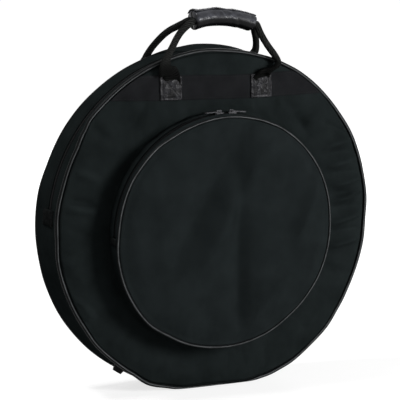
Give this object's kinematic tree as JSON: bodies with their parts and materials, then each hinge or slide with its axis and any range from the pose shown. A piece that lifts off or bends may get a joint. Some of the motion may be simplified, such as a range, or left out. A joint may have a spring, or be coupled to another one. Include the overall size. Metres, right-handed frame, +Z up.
{
  "type": "cymbal bag",
  "caption": "Round padded cymbal bag with a zipped main compartment, a round zipped front pocket, and two strap handles with a shared padded grip.",
  "frame": {"origin": "middle of the flat on the rim that the bag stands on", "axes": "+Z up through the grip; the front with the pocket faces -Y; +X is the right of someone who faces the front"},
  "size_m": [0.5896, 0.1582, 0.6513],
  "materials": {
    "bag_fabric": "black coated polyester plain weave",
    "pocket_fabric": "black coated polyester plain weave",
    "foam": "grey closed cell foam padding",
    "lining": "dark grey nylon lining",
    "piping": "black vinyl covered cord",
    "zip_tape": "black zip tape and nylon coil",
    "zip_metal": "dark lacquered metal",
    "webbing": "black polypropylene webbing",
    "strap": "black webbing folded to a round strap",
    "patch_leather": "black leatherette, box stitched",
    "grip_leather": "black padded leatherette",
    "tab_leather": "black leatherette",
    "hook_and_loop": "black hook and loop tape",
    "rubber_foot": "black rubber"
  },
  "bodies": {
    "bag": {"front_panel": "bag_fabric", "front_foam": "foam", "front_lining": "lining", "back_panel_lower": "bag_fabric", "back_foam_lower": "foam", "back_lining_lower": "lining", "lower_gusset": "bag_fabric", "lower_gusset_foam": "foam", "lower_gusset_lining": "lining", "front_zip_gusset": "bag_fabric", "front_zip_gusset_foam": "foam", "front_zip_tape": "zip_tape", "front_piping": "piping", "back_piping_lower": "piping", "zip_end_tab_left": "tab_leather", "zip_end_tab_right": "tab_leather", "foot_left": "rubber_foot", "foot_right": "rubber_foot", "front_band": "webbing", "front_patch_left": "patch_leather", "front_patch_right": "patch_leather", "pocket_face_lower": "pocket_fabric", "pocket_lower_gusset": "pocket_fabric", "pocket_base_strip": "pocket_fabric", "pocket_base_zip_tape": "zip_tape", "pocket_piping_lower": "piping", "pocket_zip_tab_left": "tab_leather", "pocket_zip_tab_right": "tab_leather"},
    "back_lid": {"back_panel_upper": "bag_fabric", "back_foam_upper": "foam", "back_lining_upper": "lining", "back_zip_gusset": "bag_fabric", "back_zip_gusset_foam": "foam", "back_zip_tape": "zip_tape", "back_piping_upper": "piping", "back_band": "webbing", "back_patch_left": "patch_leather", "back_patch_right": "patch_leather"},
    "pocket_lid": {"pocket_face_upper": "pocket_fabric", "pocket_lid_strip": "pocket_fabric", "pocket_lid_zip_tape": "zip_tape", "pocket_piping_upper": "piping"},
    "front_carry_handle": {"front_handle": "strap", "grip_front_half": "grip_leather", "grip_loop_strip": "hook_and_loop"},
    "back_carry_handle": {"back_handle": "strap", "grip_back_half": "grip_leather", "grip_hook_strip": "hook_and_loop"},
    "main_left_zip_slider": {"main_left_slider": "zip_metal"},
    "main_right_zip_slider": {"main_right_slider": "zip_metal"},
    "pocket_left_zip_slider": {"pocket_left_slider": "zip_metal"},
    "pocket_right_zip_slider": {"pocket_right_slider": "zip_metal"},
    "main_left_zip_puller": {"main_left_puller": "zip_metal"},
    "main_right_zip_puller": {"main_right_puller": "zip_metal"},
    "pocket_left_zip_puller": {"pocket_left_puller": "zip_metal"},
    "pocket_right_zip_puller": {"pocket_right_puller": "zip_metal"}
  },
  "joints": [
    {"name": "back_lid_fold", "type": "hinge", "parent": "bag", "child": "back_lid", "pos_m": [0, 0.049, 0.3235], "axis": [-1, 0, 0], "range_deg": [0, 71]},
    {"name": "pocket_lid_fold", "type": "hinge", "parent": "bag", "child": "pocket_lid", "pos_m": [0, -0.099, 0.27979], "axis": [1, 0, 0], "range_deg": [0, 83]},
    {"name": "front_handle_swing", "type": "hinge", "parent": "bag", "child": "front_carry_handle", "pos_m": [0, -0.05324, 0.54609], "axis": [1, 0, 0], "range_deg": [0, 110]},
    {"name": "back_handle_swing", "type": "hinge", "parent": "back_lid", "child": "back_carry_handle", "pos_m": [0, 0.05324, 0.54609], "axis": [-1, 0, 0], "range_deg": [0, 110]},
    {"name": "main_left_slide", "type": "hinge", "parent": "bag", "child": "main_left_zip_slider", "pos_m": [0, -0.01, 0.28779], "axis": [0, -1, 0], "range_deg": [0, 142]},
    {"name": "main_right_slide", "type": "hinge", "parent": "bag", "child": "main_right_zip_slider", "pos_m": [0, -0.01, 0.28779], "axis": [0, 1, 0], "range_deg": [0, 11]},
    {"name": "pocket_left_slide", "type": "hinge", "parent": "bag", "child": "pocket_left_zip_slider", "pos_m": [0, -0.07165, 0.27979], "axis": [0, -1, 0], "range_deg": [0, 83]},
    {"name": "pocket_right_slide", "type": "hinge", "parent": "bag", "child": "pocket_right_zip_slider", "pos_m": [0, -0.07165, 0.27979], "axis": [0, 1, 0], "range_deg": [0, 83]},
    {"name": "main_left_puller_flip", "type": "hinge", "parent": "main_left_zip_slider", "child": "main_left_zip_puller", "pos_m": [0.26135, -0.01, 0.42675], "axis": [0, 1, 0], "range_deg": [0, 150]},
    {"name": "main_right_puller_flip", "type": "hinge", "parent": "main_right_zip_slider", "child": "main_right_zip_puller", "pos_m": [0.27815, -0.01, 0.38903], "axis": [0, -1, 0], "range_deg": [0, 150]},
    {"name": "pocket_left_puller_flip", "type": "hinge", "parent": "pocket_left_zip_slider", "child": "pocket_left_zip_puller", "pos_m": [-0.01204, -0.07165, 0.48243], "axis": [0, 1, 0], "range_deg": [0, 120]},
    {"name": "pocket_right_puller_flip", "type": "hinge", "parent": "pocket_right_zip_slider", "child": "pocket_right_zip_puller", "pos_m": [0.01204, -0.07165, 0.48243], "axis": [0, -1, 0], "range_deg": [0, 120]}
  ],
  "couplings": [
    {"joint": "main_left_slide", "follows": "back_lid_fold", "ratio": 2},
    {"joint": "main_right_slide", "follows": "back_lid_fold", "ratio": 0.1549},
    {"joint": "pocket_left_slide", "follows": "pocket_lid_fold", "ratio": 1},
    {"joint": "pocket_right_slide", "follows": "pocket_lid_fold", "ratio": 1}
  ]
}
